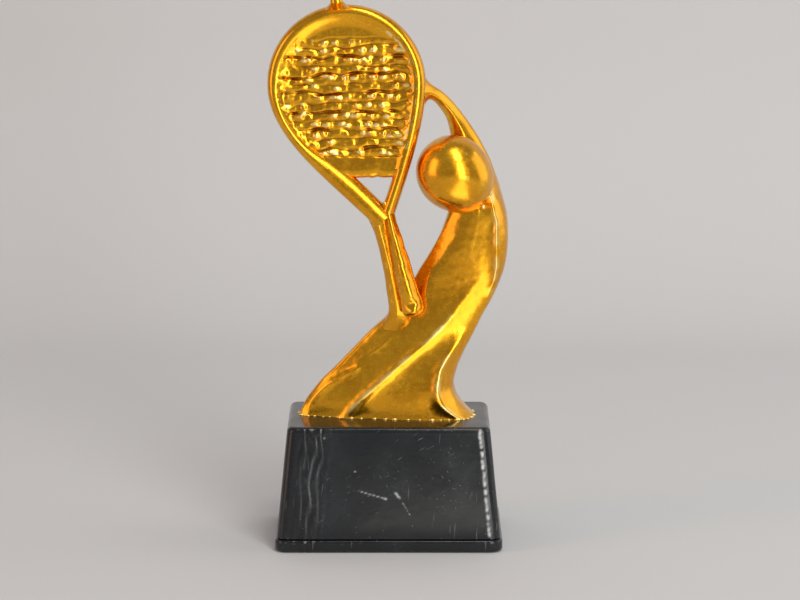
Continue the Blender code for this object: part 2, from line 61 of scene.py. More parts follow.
# Base, from the frame
SHELL_LOW, SHELL_HIGH = (np.array(corner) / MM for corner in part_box("base_shell"))
PLINTH_LOW, PLINTH_HIGH = (np.array(corner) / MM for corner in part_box("foot_plate"))
BASE_TOP = SHELL_HIGH[2]
GAP = 0.3
PLINTH_TOP = SHELL_LOW[2] - GAP
SHELL_TOP_SIZE = (53.5, 33.5)
SHELL_WALL, SHELL_CORNER, SHELL_EDGE = 2.4, 2.6, 1.5
ROOF_CORNER, CAVITY_CORNER = 1.1, 1.2
PLINTH_CORNER, PLINTH_ROOF_CORNER, PLINTH_ROOF_INSET = 3.2, 1.2, 4.5
PLINTH_FOOT_EDGE, PLINTH_TOP_EDGE = 0.6, 0.8
POCKET_CORNER = 2.3
FELT_HIGH = np.array(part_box("felt_pad")[1]) / MM
FRONT_SIDE = -10.0  # a point of the base with a lower y is on its front

# The front of the base. Its right edge, a raised bead with a painted highlight: x at the foot, lean,
# half width, height of the bead
RIGHT_EDGE, EDGE_LEAN, EDGE_WIDTH, EDGE_BEAD = 26.6, 0.095, 0.32, 0.16
# The wrinkles along its left edge: x of that edge, lean, distance from it, height
LEFT_EDGE, LEFT_LEAN, WRINKLE_PLACE, WRINKLE_HEIGHT = -26.5, 0.09, 4.6, 0.085
# Spread of the wrinkles; spread and strength of the faint pale lines painted over them as a painted
# reflection
WRINKLE_SPREAD, WRINKLE_REFLECTION_SPREAD, WRINKLE_REFLECTION = 3.4, 4.4, 0.06
# Scratches and specks, from x, z to x, z, and half width
FRONT_SCRATCHES = [
    (-7.8, 16.4, -1.6, 14.6, 0.10),
    (-1.2, 14.5, -0.7, 14.3, 0.26),
    (1.8, 15.9, 2.9, 14.5, 0.26),
    (3.6, 13.5, 5.5, 10.3, 0.07),
    (-16.9, 30.4, -16.8, 30.3, 0.17),
    (-8.9, 21.6, -8.7, 21.5, 0.15),
]

# Body. Edges by height: z, left x, right x
BODY_EDGES = [
    (33.0, -23.7, 22.7),
    (35.0, -23.0, 20.7),
    (38.0, -21.5, 18.4),
    (41.5, -18.8, 17.4),
    (46.0, -14.4, 18.2),
    (51.0, -9.6, 20.3),
    (56.0, -4.7, 22.9),
    (59.5, -0.8, 24.6),
    (62.0, 1.6, 26.0),
    (65.0, 3.4, 27.6),
    (68.5, 6.0, 29.2),
    (72.0, 8.0, 30.4),
    (75.0, 9.9, 31.1),
    (81.0, 13.2, 31.7),
    (88.0, 15.9, 31.1),
    (94.0, 17.0, 29.4),
    (101.3, 17.0, 26.8),
]
# z, left edge y, right edge y, y of the front face, bulge behind, squareness of the front
BODY_DEPTHS = [
    (33.0, 0.0, 2.5, -6.6, 7.2, 0.5),
    (42.0, 0.0, 2.4, -5.9, 7.0, 0.45),
    (50.0, 0.0, 2.3, -5.2, 6.8, 0.4),
    (65.0, 0.4, 2.6, -4.4, 6.2, 0.4),
    (81.0, 1.0, 4.0, -4.6, 5.2, 0.4),
    (90.0, 2.4, 5.2, -4.0, 4.6, 0.6),
    (95.0, 3.6, 5.0, -2.2, 4.2, 0.8),
    (101.3, 4.8, 4.8, 1.2, 3.4, 1.0),
]
# Folds on the front: z, x of the crest, height, width of its left slope, of its right slope,
# roundness, height of the bead along the crest
MAIN_FOLD = [
    (33.0, -11.6, 0.7, 6.0, 4.0, 3.0, 0.55),
    (37.6, -8.2, 0.9, 6.0, 2.8, 2.2, 0.45),
    (42.3, -3.2, 0.8, 6.5, 2.4, 1.9, 0.36),
    (49.2, 4.5, 0.8, 6.5, 2.4, 1.9, 0.36),
    (56.7, 13.0, 0.8, 5.5, 2.4, 1.9, 0.36),
    (64.0, 18.8, 0.4, 4.0, 2.4, 1.8, 0.18),
    (70.0, 23.6, 0.15, 3.5, 2.4, 1.8, 0.05),
    (76.0, 27.0, 0.0, 3.0, 2.4, 1.5, 0.0),
]
RIGHT_FOLD = [
    (33.0, 19.6, 0.6, 3.0, 2.4, 1.6, 0.4),
    (34.4, 17.2, 1.0, 3.0, 2.2, 1.4, 0.4),
    (36.8, 14.5, 1.5, 3.0, 2.0, 1.2, 0.4),
    (40.1, 13.1, 2.1, 2.8, 1.8, 1.1, 0.4),
    (43.9, 13.1, 2.0, 2.6, 1.8, 1.1, 0.4),
    (48.3, 14.6, 1.5, 2.4, 1.8, 1.1, 0.35),
    (52.8, 17.8, 0.7, 2.4, 1.9, 1.2, 0.15),
    (58.0, 22.0, 0.0, 2.4, 1.9, 1.2, 0.0),
]
# The flat facet along the left side: z, x of its right border, how fast it falls back
LEFT_FACET = [
    (33.0, -24.5, 0.6),
    (45.0, -15.5, 0.6),
    (49.9, -9.0, 0.62),
    (55.0, -2.2, 0.64),
    (59.9, 3.9, 0.66),
    (64.8, 9.6, 0.66),
    (70.1, 12.2, 0.66),
    (75.5, 15.6, 0.66),
    (80.5, 18.6, 0.66),
    (86.5, 20.8, 0.62),
    (95.0, 21.6, 0.5),
]
LEFT_SEAM = [
    (33.0, -21.4, 0.5, 1.4, 1.2, 0.5, 0.15),
    (36.5, -20.6, 0.55, 1.4, 1.2, 0.45, 0.15),
    (40.6, -17.3, 0.55, 1.4, 1.2, 0.45, 0.15),
    (44.6, -11.6, 0.5, 1.4, 1.2, 0.45, 0.15),
    (47.0, -7.4, 0.2, 1.2, 1.2, 0.45, 0.05),
    (50.0, -4.5, 0.0, 1.0, 1.0, 0.4, 0.0),
]
WAIST_RIPPLE = [
    (42.0, -12.4, 0.0, 1.2, 1.2, 0.6, 0.0),
    (44.5, -9.4, 0.25, 1.2, 1.2, 0.6, 0.0),
    (48.9, -6.9, 0.3, 1.2, 1.2, 0.6, 0.0),
    (51.3, -3.3, 0.3, 1.2, 1.2, 0.6, 0.0),
    (54.7, 0.4, 0.3, 1.2, 1.2, 0.6, 0.0),
    (58.7, 3.3, 0.0, 1.2, 1.2, 0.6, 0.0),
]
BACK_RIB = [
    (60.0, 24.6, 0.0, 0.6, 4.0, 0.5, 0.0),
    (66.0, 26.8, 0.3, 0.6, 4.0, 0.5, 0.2),
    (72.1, 28.2, 0.8, 0.5, 4.0, 0.5, 0.4),
    (79.5, 28.4, 0.9, 0.5, 4.0, 0.5, 0.45),
    (86.8, 28.1, 0.9, 0.5, 4.0, 0.5, 0.45),
    (91.5, 27.0, 0.8, 0.5, 3.0, 0.5, 0.45),
    (98.0, 25.4, 0.2, 0.6, 2.0, 0.6, 0.2),
]
FRONT_FOLDS = (MAIN_FOLD, RIGHT_FOLD, LEFT_SEAM, WAIST_RIPPLE, BACK_RIB)
BEAD_WIDTH = 1.7
# Painted highlight along the crests of the front folds: its width, and the bead height that gets all of
# it
SHINE_WIDTH = 1.1  # of the bright line along a crest
SHINE_FULL_BEAD = 0.36  # a bead of this height has the full shine
FRONT_TURN = [(33.0, 0.17), (52.0, 0.14), (66.0, 0.06), (101.3, 0.05)]  # z, turn to the left
# Folds on the back, which run the other way up
BACK_SWEEP = [
    (33.0, 6.0, 1.8, 5.0, 4.0, 1.4, 0.2),
    (45.0, -2.0, 1.8, 5.0, 4.0, 0.9, 0.2),
    (57.0, 7.0, 1.6, 5.0, 4.0, 0.9, 0.2),
    (75.0, 20.0, 1.2, 4.0, 3.5, 0.9, 0.1),
    (92.0, 23.5, 0.6, 3.0, 3.0, 1.0, 0.0),
]
BACK_HEM_FOLD = [
    (33.0, -12.0, 1.2, 3.5, 3.0, 1.0, 0.1),
    (44.0, -9.0, 0.9, 3.5, 3.0, 0.8, 0.1),
    (52.0, -3.0, 0.0, 3.0, 3.0, 0.8, 0.0),
]
BACK_FOLDS = (BACK_SWEEP, BACK_HEM_FOLD)
HEM_FLARE, HEM_HEIGHT = 0.35, 0.6
HEM_BEADS = 46
# Beads of lacquer beside the head: centre, half sizes
HEAD_BEADS = [((26.6, -3.6, 93.3), (0.75, 0.6, 0.7)), ((24.8, -5.2, 89.9), (0.6, 0.5, 0.6))]

# Arms: inner edge x, z; outer edge x, z; edge y; half thickness
RAISED_ARM = [
    ((17.0, 101.3), (26.8, 101.3), 4.8, 3.4),
    ((16.7, 105.3), (24.5, 105.7), 4.6, 3.0),
    ((16.0, 109.3), (21.9, 110.0), 4.2, 2.6),
    ((15.2, 112.2), (19.4, 113.5), 3.6, 2.2),
    ((13.7, 114.7), (17.0, 116.5), 2.9, 2.0),
    ((12.1, 116.7), (14.2, 119.4), 1.4, 1.8),
    ((10.6, 117.4), (11.0, 121.7), 0.3, 1.9),
    ((9.4, 116.0), (9.4, 123.8), -0.6, 2.1),
]
LOWER_ARM = [
    ((-2.4, 56.6), (7.0, 56.4), 0.2, 3.2),
    ((-0.5, 60.2), (6.0, 59.8), -2.0, 2.6),
    ((0.0, 62.6), (5.6, 62.2), -2.9, 2.3),
    ((-0.5, 66.8), (4.6, 66.2), -3.4, 2.1),
    ((-1.6, 74.0), (2.8, 73.4), -3.7, 1.9),
    ((-3.5, 81.9), (0.8, 81.2), -3.7, 1.9),
    ((-5.0, 85.6), (0.0, 86.2), -3.7, 2.0),
    ((-6.0, 87.6), (-1.0, 88.6), -3.7, 2.1),
]
# The ridge along the front of each arm: share of the way to the outer edge, height, width
RAISED_RIDGE, LOWER_RIDGE = (0.5, 0.9, 0.3), (0.38, 0.7, 0.25)

# Head
HEAD_CENTRE = Vector((17.6, -2.5, 97.9))
HEAD_HALF_SIZES = Vector((9.7, 9.6, 10.8))
HEAD_TILT = math.radians(-42.0)
HEAD_TAPER = 0.06

# Racket, in its own frame: u to the right, w away from the viewer, v up
RACKET_CENTRE = Vector((-11.0, -1.0, 121.7))
RACKET_LEAN, RACKET_YAW = math.radians(-4.5), math.radians(-3.0)
RACKET_RADIUS = 20.8
RIGHT_SIDE = [(20.8, 0.0), (20.8, -9.0), (17.4, -20.0), (12.7, -34.0)]
LEFT_SIDE = [(-20.8, 0.0), (-20.8, -13.0), (-7.6, -22.8), (5.5, -35.2)]
BRANCH_RUN = 3.5  # how far the left branch runs on past its curve, into the grip
RIM_HALF = 2.8
# v, width of the rim on the right, on the left, share of that width where the left crest is
RIM_WIDTHS = [
    (-38.0, 3.7, 5.6, 0.38),
    (-25.0, 3.7, 5.4, 0.38),
    (-19.0, 3.9, 3.8, 0.42),
    (-12.0, 4.2, 3.2, 0.5),
    (-4.0, 4.4, 3.7, 0.5),
    (4.0, 4.3, 4.2, 0.5),
    (21.0, 4.2, 4.2, 0.5),
]
CROSSBAR_TOP, CROSSBAR_FOOT = -18.5, -24.4
STRING_BED_FOOT = -22.0
BED_LEVEL, DISH_WIDTH = 1.5, 2.3
LOWEST_GROOVE, ROW_PITCH, ROWS_FOOT, ROWS_TOP = -16.7, 4.8, -19.3, 12.6
GROOVE_DEPTH, GROOVE_WIDTH = 0.70, 0.42
LIP_HEIGHT, LIP_WIDTH, LIP_BELOW_GROOVE = 0.55, 0.60, 1.05
STRING_BEADS, STRING_BEAD_HEIGHT, STRING_BEAD_SPREAD = 70, 0.45, 0.30
BED_RELIEF, BED_RELIEF_BEHIND = 0.8, 0.5
EDGE_SHINE_FOOT, EDGE_SHINE_TOP = -17.0, 14.0
HANDLE_TOP = (10.0, -31.0)
HANDLE_BUTT = Vector((7.0, -6.8, 60.7))
HANDLE_RADII = [(0.0, 1.75), (0.15, 1.8), (0.5, 2.2), (0.85, 2.6), (0.93, 2.7), (1.0, 2.6)]
BUTT_START = 0.93
DIMPLE_PLACE, DIMPLE_LENGTH, DIMPLE_DEPTH = 0.885, 0.04, 0.9

# Dowels inside the castings: start, end, radius. The handle's runs between two shares of its length
HAND_DOWEL = (Vector((12.6, 1.2, 118.3)), Vector((8.6, -0.6, 119.9)), 0.6)
WRIST_DOWEL = (Vector((-2.0, -3.7, 83.0)), Vector((-3.4, -3.7, 88.0)), 0.6)
HANDLE_DOWEL = (0.02, 0.24, 0.7)
DOWEL_OUTLINE = [(0.0, 0.7), (0.06, 1.0), (0.94, 1.0), (1.0, 0.7)]  # share of length, share of radius

# Ball and stem
BALL_RADIUS = 6.5
STEM_ANGLE = math.radians(6.8)
STEM_LENGTH = 3.0
STEM_RADII = [(-0.8, 3.4), (0.0, 2.6), (0.7, 1.8), (1.6, 1.5), (3.2, 1.6), (4.0, 2.4)]  # height, radius
SEAM_DEPTH, SEAM_WIDTH = 0.28, 0.045

# Unevenness of the castings: pairs of wave length and height
BODY_WAVES = ((6.0, 0.12), (1.6, 0.035))
ARM_WAVES = ((4.0, 0.08),)
HEAD_WAVES = ((7.0, 0.10),)
RIM_WAVES = ((5.0, 0.12), (1.5, 0.05))
BAR_WAVES = ((4.0, 0.10),)
ROUGH_WAVES = ((3.5, 0.22), (1.4, 0.06))

# Camera and stage
CAMERA_PLACE = Vector((0.003, -0.8683, 0.2296))
CAMERA_AIM = Vector((0.003, 0.0, 0.064))
CAMERA_LENS, CAMERA_SENSOR = 150.0, 36.0
LIGHT_TARGET = Vector((0.0, 0.0, 0.09))
FLOOR_LIGHT_HEIGHT = 0.004
FLOOR_COLOUR = (0.66, 0.66, 0.67)
FLOOR_HALF_WIDTH, FLOOR_FRONT, WALL_PLACE, WALL_SWEEP, WALL_TOP = 3.0, -3.0, 0.34, 0.10, 1.2

# Colours
GOLD, GOLD_DEEP, GOLD_BRIGHT = (0.92, 0.43, 0.012), (0.78, 0.335, 0.006), (1.0, 0.54, 0.03)
# Painted shade in creases, and painted highlight on edges and crests
GOLD_CREASE_SHADE, GOLD_EDGE_HIGHLIGHT = (0.33, 0.12, 0.004), (1.0, 0.66, 0.08)
# Painted shade in grooves and recesses, and a pale painted highlight
GOLD_HOLLOW_SHADE, GOLD_PAINTED_HIGHLIGHT = (0.36, 0.15, 0.003), (1.0, 0.76, 0.27)
BLACK, BLACK_LIGHTER = (0.0065, 0.0078, 0.0098), (0.014, 0.0165, 0.0205)
# Marks on the black; the pale one serves for real scratches and for painted highlight and painted
# reflection
BLACK_MARKED, BLACK_WEAR_AND_SHINE = (0.27, 0.28, 0.30), (0.62, 0.64, 0.66)


# ---------------------------------------------------------------- shader tools


class Shader:
    """A material under construction: short calls add its nodes and link them."""

    def __init__(self, name, **settings):
        self.material = bpy.data.materials.new(name)
        self.material.use_nodes = True
        self.tree = self.material.node_tree
        self.main = self.tree.nodes["Principled BSDF"]
        for socket, value in settings.items():
            self.main.inputs[socket.replace("_", " ")].default_value = value
        self.place = self.add("ShaderNodeTexCoord").outputs["Object"]

    def add(self, kind, inputs=None, **settings):
        node = self.tree.nodes.new(kind)
        for key, value in settings.items():
            setattr(node, key, value)
        for key, value in (inputs or {}).items():
            if isinstance(value, bpy.types.NodeSocket):
                self.tree.links.new(value, node.inputs[key])
            else:
                node.inputs[key].default_value = value
        return node

    def noise(self, scale, detail=4.0, roughness=0.5, distortion=0.0, vector=None):
        inputs = {
            "Vector": vector or self.place,
            "Scale": scale,
            "Detail": detail,
            "Roughness": roughness,
            "Distortion": distortion,
        }
        return self.add("ShaderNodeTexNoise", inputs).outputs["Fac"]

    def cells(self, scale, vector=None, **settings):
        inputs = {"Vector": vector or self.place, "Scale": scale}
        return self.add("ShaderNodeTexVoronoi", inputs, **settings).outputs["Distance"]

    def ramp(self, value, low, high, out_low=0.0, out_high=1.0, smooth=True):
        inputs = {
            "Value": value,
            "From Min": low,
            "From Max": high,
            "To Min": out_low,
            "To Max": out_high,
        }
        kind = "SMOOTHSTEP" if smooth else "LINEAR"
        return self.add("ShaderNodeMapRange", inputs, interpolation_type=kind).outputs["Result"]

    def scratches(self, turn, seed):
        """Short fine lines at one angle, in rare patches."""
        turned = self.add(
            "ShaderNodeMapping",
            {"Vector": self.place, "Rotation": (turn, turn, turn), "Location": (seed, seed, seed)},
        ).outputs[0]
        long_way = self.add("ShaderNodeMapping", {"Vector": turned, "Scale": (90, 900, 2600)}).outputs[0]
        lines = self.ramp(self.noise(1.0, detail=1.0, vector=long_way), 0.70, 0.74)
        patch = self.ramp(self.noise(70.0, detail=1.0, vector=turned), 0.52, 0.60)
        return self.maths("MULTIPLY", lines, patch)

    def maths(self, operation, a, b=0.0):
        return self.add("ShaderNodeMath", {0: a, 1: b}, operation=operation).outputs[0]

    def blend(self, share, a, b):
        node = self.add("ShaderNodeMix", data_type="RGBA")
        for socket, value in zip((node.inputs[0], node.inputs[6], node.inputs[7]), (share, a, b)):
            if isinstance(value, bpy.types.NodeSocket):
                self.tree.links.new(value, socket)
            else:
                socket.default_value = (*value, 1.0) if isinstance(value, tuple) else value
        return node.outputs[2]

    def bump(self, height, strength, distance, under=None):
        inputs = {"Height": height, "Strength": strength, "Distance": distance}
        if under:
            inputs["Normal"] = under
        return self.add("ShaderNodeBump", inputs).outputs["Normal"]

    def set(self, socket, value):
        self.tree.links.new(value, self.main.inputs[socket])
        return self


# ---------------------------------------------------------------- materials


def gold_material():
    """Metallic lacquer over a cast figure, with fine grit.

    Each piece carries an attribute for painted light: above zero it paints shade, dark brown, and below
    zero a pale highlight, a little rougher.
    """
    s = Shader("gold_lacquer", Metallic=1.0, Coat_Weight=0.35, Coat_Roughness=0.10, Coat_IOR=1.45)
    broad = s.noise(110.0, detail=3.0)
    mottle = s.noise(700.0, detail=4.0, roughness=0.6)
    flakes = s.cells(5200.0)
    tone = s.blend(s.ramp(broad, 0.35, 0.65), GOLD_DEEP, GOLD)
    tone = s.blend(s.ramp(mottle, 0.45, 0.65, 0.0, 0.2), tone, GOLD_BRIGHT)
    crests = s.add("ShaderNodeNewGeometry").outputs["Pointiness"]
    # Painted shade: darker gold in creases, where Pointiness is low
    tone = s.blend(s.ramp(crests, 0.495, 0.44, 0.0, 0.8), tone, GOLD_CREASE_SHADE)
    # Painted highlight: paler gold on edges and crests, where Pointiness is high
    tone = s.blend(s.ramp(crests, 0.52, 0.58, 0.0, 0.5), tone, GOLD_EDGE_HIGHLIGHT)
    hollow = s.add("ShaderNodeAttribute", attribute_name="hollow").outputs["Fac"]
    # Painted shade where the attribute is above zero
    tone = s.blend(s.ramp(hollow, 0.1, 0.8, 0.0, 0.9), tone, GOLD_HOLLOW_SHADE)
    # Painted highlight where the attribute is below zero; it is also made a little rougher
    painted_shine = s.ramp(hollow, -0.15, -0.7)
    tone = s.blend(painted_shine, tone, GOLD_PAINTED_HIGHLIGHT)
    s.set("Base Color", tone)
    rough = s.maths("ADD", s.ramp(mottle, 0.3, 0.7, 0.20, 0.28), s.ramp(flakes, 0.0, 0.5, 0.05, 0.0))
    s.set("Roughness", s.maths("ADD", rough, s.maths("MULTIPLY", painted_shine, 0.14)))
    peel = s.noise(300.0, detail=2.0)
    grit = s.noise(2600.0, detail=3.0, roughness=0.6)
    soft = s.bump(peel, 0.12, 0.0004)
    s.set("Normal", s.bump(grit, 0.08, 0.00008, under=soft))
    s.set("Coat Normal", soft)
    return s.material


def black_material():
    """Black gloss plastic with scratches, specks and orange peel, turned pale where a piece's attribute
    says so: real scratches, and painted highlight and painted reflection.
    """
    s = Shader("black_gloss", Coat_Weight=0.2, Coat_Roughness=0.12)
    s.main.inputs["Specular IOR Level"].default_value = 0.4
    broad = s.noise(90.0, detail=5.0, roughness=0.6)
    tone = s.blend(s.ramp(broad, 0.45, 0.75), BLACK, BLACK_LIGHTER)
    specks = s.ramp(s.cells(330.0), 0.05, 0.02)
    specks = s.maths("MULTIPLY", specks, s.ramp(s.noise(260.0, detail=0.0), 0.60, 0.66))
    scratches = s.maths("MAXIMUM", s.scratches(0.5, 2.0), s.scratches(-0.75, 9.0))
    scratches = s.maths("MAXIMUM", scratches, s.scratches(1.35, 17.0))
    marks = s.maths("MAXIMUM", specks, s.maths("MULTIPLY", scratches, 0.30))
    tone = s.blend(marks, tone, BLACK_MARKED)
    worn = s.add("ShaderNodeAttribute", attribute_name="worn").outputs["Fac"]
    # Pale colour: real scratches and specks, and painted highlight and painted reflection
    s.set("Base Color", s.blend(worn, tone, BLACK_WEAR_AND_SHINE))
    rough = s.maths("ADD", s.ramp(broad, 0.3, 0.7, 0.15, 0.28), s.maths("MULTIPLY", marks, 0.35))
    s.set("Roughness", rough)
    peel = s.bump(s.noise(380.0, detail=2.0), 0.10, 0.0005)
    s.set("Normal", s.bump(marks, -0.25, 0.0001, under=peel))
    return s.material


def steel_material():
    s = Shader("steel", Metallic=1.0)
    place = s.add("ShaderNodeMapping", {"Vector": s.place, "Scale": (900, 900, 6000)}).outputs[0]
    rings = s.noise(1.0, detail=3.0, vector=place)
    s.set("Base Color", s.blend(s.noise(300.0), (0.48, 0.49, 0.50), (0.60, 0.60, 0.61)))
    s.set("Roughness", s.ramp(rings, 0.3, 0.7, 0.28, 0.42))
    s.set("Normal", s.bump(rings, 0.2, 0.00005))
    return s.material


def brass_material():
    s = Shader("brass", Metallic=1.0)
    grain = s.noise(2500.0, detail=3.0)
    s.set("Base Color", s.blend(s.noise(400.0), (0.60, 0.42, 0.16), (0.75, 0.56, 0.25)))
    s.set("Roughness", s.ramp(grain, 0.3, 0.7, 0.26, 0.40))
    s.set("Normal", s.bump(grain, 0.2, 0.00004))
    return s.material


def felt_material():
    s = Shader("black_felt", Roughness=0.95, Sheen_Weight=0.6, Sheen_Roughness=0.5)
    fibres = s.noise(3200.0, detail=6.0, roughness=0.75, distortion=1.5)
    s.set("Base Color", s.blend(fibres, (0.008, 0.008, 0.009), (0.035, 0.035, 0.038)))
    s.set("Normal", s.bump(fibres, 0.8, 0.0003))
    return s.material


def cement_material():
    s = Shader("cement", Roughness=0.9)
    sand = s.noise(1800.0, detail=5.0, roughness=0.7)
    patches = s.noise(120.0, detail=4.0)
    tone = s.blend(patches, (0.30, 0.29, 0.275), (0.46, 0.45, 0.43))
    pits = s.ramp(s.cells(420.0), 0.16, 0.08)
    s.set("Base Color", s.blend(pits, tone, (0.16, 0.155, 0.15)))
    s.set("Normal", s.bump(s.maths("SUBTRACT", sand, pits), 0.6, 0.0003))
    return s.material


# ---------------------------------------------------------------- mesh tools


def curve(rows):
    """A function that reads the table rows (position, value, ...) on a smooth curve through each row."""
    table = np.array(rows, dtype=float)
    at, values = table[:, 0], table[:, 1:]
    slopes = np.gradient(values, at, axis=0)

    def read(position):
        position = np.clip(np.asarray(position, dtype=float), at[0], at[-1])
        i = np.clip(np.searchsorted(at, position, side="right") - 1, 0, len(at) - 2)
        span = (at[i + 1] - at[i])[..., None]
        t = ((position - at[i]) / span[..., 0])[..., None]
        a, b = values[i], values[i + 1]
        found = a * (2 * t**3 - 3 * t**2 + 1) + slopes[i] * span * (t**3 - 2 * t**2 + t)
        found = found + b * (3 * t**2 - 2 * t**3) + slopes[i + 1] * span * (t**3 - t**2)
        return np.moveaxis(found, -1, 0)

    return read


def skin(rings, close_ends=True):
    """Points and faces of a skin through rings of equal length."""
    rings = np.asarray(rings, dtype=float)
    count, around = rings.shape[:2]
    faces = []
    for i in range(count - 1):
        for j in range(around):
            k = (j + 1) % around
            faces.append((i * around + j, i * around + k, (i + 1) * around + k, (i + 1) * around + j))
    if close_ends:
        faces.append(tuple(reversed(range(around))))
        faces.append(tuple((count - 1) * around + j for j in range(around)))
    return rings.reshape(-1, 3), faces


def build(name, parts, material, slot, *nodes, sharp=60.0):
    """One object from [(points in millimetres, faces), ...] that stands for the CAD nodes named."""
    bm = bmesh.new()
    for points, faces in parts:
        verts = [bm.verts.new(Vector(p) * MM) for p in points]
        for face in faces:
            bm.faces.new([verts[i] for i in face])
    bmesh.ops.recalc_face_normals(bm, faces=bm.faces)
    mesh = bpy.data.meshes.new(name)
    bm.to_mesh(mesh)
    bm.free()
    mesh.shade_smooth()
    mesh.set_sharp_from_angle(angle=math.radians(sharp))
    mesh.materials.append(material)
    obj = bpy.data.objects.new(name, mesh)
    bpy.context.scene.collection.objects.link(obj)
    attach(obj, "root")
    if nodes:
        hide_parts(*nodes)
    return obj


def write_attribute(obj, name, values):
    """Gives every point of a piece a number that its material reads."""
    layer = obj.data.attributes.new(name, "FLOAT", "POINT")
    layer.data.foreach_set("value", np.asarray(values, dtype=np.float32).ravel())
    return obj


def grit(points, waves):
    """Moves points by smooth noise, once for each pair of a wave length and a height."""
    moved = np.array(points, dtype=float)
    for length, height in waves:
        for point in moved.reshape(-1, 3):
            point += np.array(noise.noise_vector(Vector(point) / length)) * height
    return moved


def circle(count):
    """Directions round a unit circle in the XY plane."""
    angles = (2 * math.pi * i / count for i in range(count))
    return [Vector((math.cos(a), math.sin(a), 0)) for a in angles]


def sphere(rows, columns, pole_gap):
    """Directions of a unit sphere, row by row from the top. Each row comes with its polar angle."""
    for row in range(rows + 1):
        polar = math.pi * (pole_gap + (1 - 2 * pole_gap) * row / rows)
        around = (2 * math.pi * column / columns for column in range(columns))
        up, out = math.cos(polar), math.sin(polar)
        yield polar, [Vector((out * math.cos(a), out * math.sin(a), up)) for a in around]


def clamp(value, low=0.0, high=1.0):
    return min(max(value, low), high)


# ---------------------------------------------------------------- body and arms

body_edges, body_depths, left_facet = curve(BODY_EDGES), curve(BODY_DEPTHS), curve(LEFT_FACET)
front_turn = curve(FRONT_TURN)


def fold_height(fold, x, z):
    """The height of a fold at x, z: an exponential slope on each side of a rounded crest."""
    crest, height, left, right, soft, bead = curve(fold)(z)
    inside = (z >= fold[0][0] - 0.5) & (z <= fold[-1][0])
    waver = np.array([0.25 * noise.noise(Vector((0.0, 3.0, level / 3.0))) for level in z[:1]])
    away = x - crest - waver
    width = np.where(away < 0, left, right)
    rounded = np.hypot(away, soft) - soft
    slopes = height * np.exp(-rounded / width)
    return np.where(inside, slopes + bead * np.exp(-((away / BEAD_WIDTH) ** 2)), 0.0)


def crest_shine(x, z):
    """Painted highlight: broken stretches of pale colour along the crests of the front folds."""
    shine = 0.0
    for fold in (MAIN_FOLD, RIGHT_FOLD, BACK_RIB):
        crest, bead = curve(fold)(z)[[0, 5]]
        if fold[0][0] - 0.5 <= z <= fold[-1][0] and bead > 0.1:
            breaks = 0.75 + 0.9 * noise.noise(Vector((fold[0][1], 0.0, z / 2.6)))
            full = min(bead / SHINE_FULL_BEAD, 1.0)
            shine = shine + breaks * full * np.exp(-(((x - crest) / SHINE_WIDTH) ** 2))
    return np.clip(shine, 0.0, 1.0)


def farther_back(a, b, blend=0.5):
    """The larger of two depths, with a small rounding where they cross."""
    return (a + b + np.sqrt((a - b) ** 2 + blend**2)) / 2


def body_rings():
    around, heights = 360, np.concatenate([np.linspace(33.02, 36.0, 16), np.linspace(36.3, 101.3, 220)])
    angle = np.arange(around) / around * 2 * math.pi
    share = (1 - np.cos(angle)) / 2
    front = angle < math.pi
    rise = np.abs(np.sin(angle))
    near_edge = np.clip(rise / 0.35, 0, 1) ** 0.8
    rings = []
    for z in heights:
        left, right = body_edges(z)
        y_left, y_right, y_front, bulge_back, square = body_depths(z)
        x = left + (right - left) * share
        y_edge = y_left + (y_right - y_left) * share
        z_all = np.full(around, z)
        ahead = sum(fold_height(fold, x, z_all) for fold in FRONT_FOLDS)
        behind = sum(fold_height(fold, x, z_all) for fold in BACK_FOLDS)
        filled = rise**square
        face = y_edge * (1 - filled) + y_front * filled - near_edge * (ahead - 0.6)
        border, fall = left_facet(z)
        facet = y_front + 0.2 + fall * (border - x)
        face -= front_turn(z)[0] * filled * (x - (left + right) / 2)
        face = np.minimum(farther_back(face, facet), y_edge * (1 - filled**3) + face * filled**3)
        y = np.where(front, face, y_edge + rise**0.8 * bulge_back + near_edge * behind)
        flare = HEM_FLARE * math.exp(-(z - BASE_TOP) / HEM_HEIGHT)
        y = y + np.where(front, -1, 1) * flare * rise
        rings.append(np.stack([x, y, z_all], axis=1))
    return np.array(rings)


def build_body(gold):
    rings = grit(body_rings(), BODY_WAVES)
    rings[:, :, 2] = np.maximum(rings[:, :, 2], BASE_TOP + 0.01)
    body = build("player_body", [skin(rings)], gold, "gold_lacquer", "figure_body")
    # Painted highlight on the front crests, written as negative values of the attribute
    shine = [crest_shine(ring[:, 0], float(ring[0, 2])) * (ring[:, 1] < 2.0) for ring in rings]
    return write_attribute(body, "hollow", -0.55 * np.array(shine))


def arm_rings(stations, ridge, around=72, steps=90):
    """Smooth rings along an arm. ridge raises the front along one line for a crisp highlight."""
    table = [
        (float(i), inner[0], inner[1], outer[0], outer[1], y, half)
        for i, (inner, outer, y, half) in enumerate(stations)
    ]
    read = curve(table)
    angle = np.arange(around) / around * 2 * math.pi
    rings = []
    for t in np.linspace(0, len(stations) - 1, steps):
        inner_x, inner_z, outer_x, outer_z, y, half = read(t)
        share = (1 - np.cos(angle)) / 2
        crest, height, width = ridge
        raised = height * np.exp(-(np.hypot(share - crest, 0.06) - 0.06) / width)
        depth = half * np.abs(np.sin(angle)) ** 0.85
        front = np.where(angle < math.pi, depth + raised * np.sin(angle), 0)
        back = np.where(angle >= math.pi, depth, 0)
        rings.append(
            np.stack(
                [
                    inner_x + (outer_x - inner_x) * share,
                    y - front + back,
                    inner_z + (outer_z - inner_z) * share,
                ],
                axis=1,
            )
        )
    return np.array(rings)


